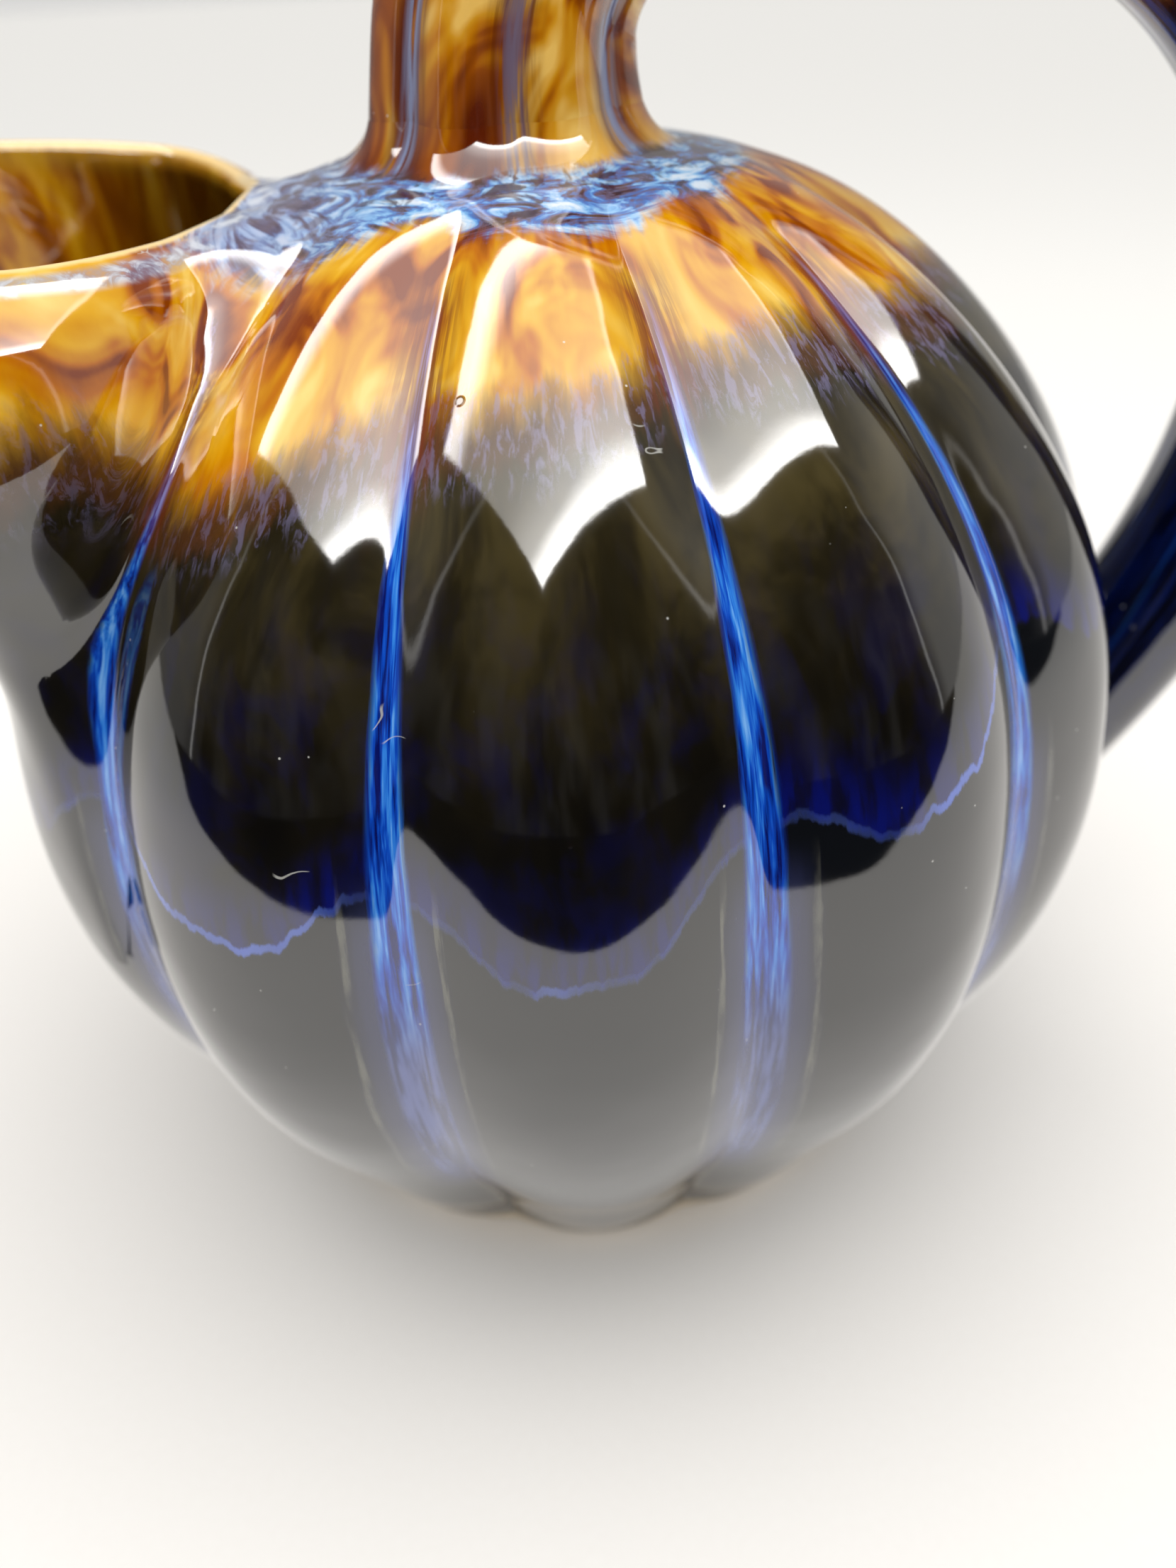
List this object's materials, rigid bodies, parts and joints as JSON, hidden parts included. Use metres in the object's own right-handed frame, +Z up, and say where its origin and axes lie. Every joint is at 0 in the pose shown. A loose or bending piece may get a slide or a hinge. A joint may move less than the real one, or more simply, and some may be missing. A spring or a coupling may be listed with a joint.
{
  "type": "pumpkin pitcher",
  "caption": "Ribbed pumpkin-shaped glazed stoneware pitcher with a wide pouring mouth and a fluted stem that turns over into a loop handle.",
  "frame": {"origin": "centre of the flat base, on the surface it stands on", "axes": "+Z up, +X from the body's axis towards the handle, -X towards the pouring tip, symmetric about the XZ plane"},
  "size_m": [0.2359, 0.1706, 0.2048],
  "materials": {
    "body_glaze": "gloss",
    "lip_glaze": "gloss",
    "stem_glaze": "gloss",
    "joint_glaze": "gloss"
  },
  "bodies": {
    "root": {"body_shell": "body_glaze", "pouring_lip": "lip_glaze", "stem_handle": "stem_glaze", "stem_joint_slip": "joint_glaze", "handle_joint_slip": "joint_glaze"}
  },
  "joints": []
}
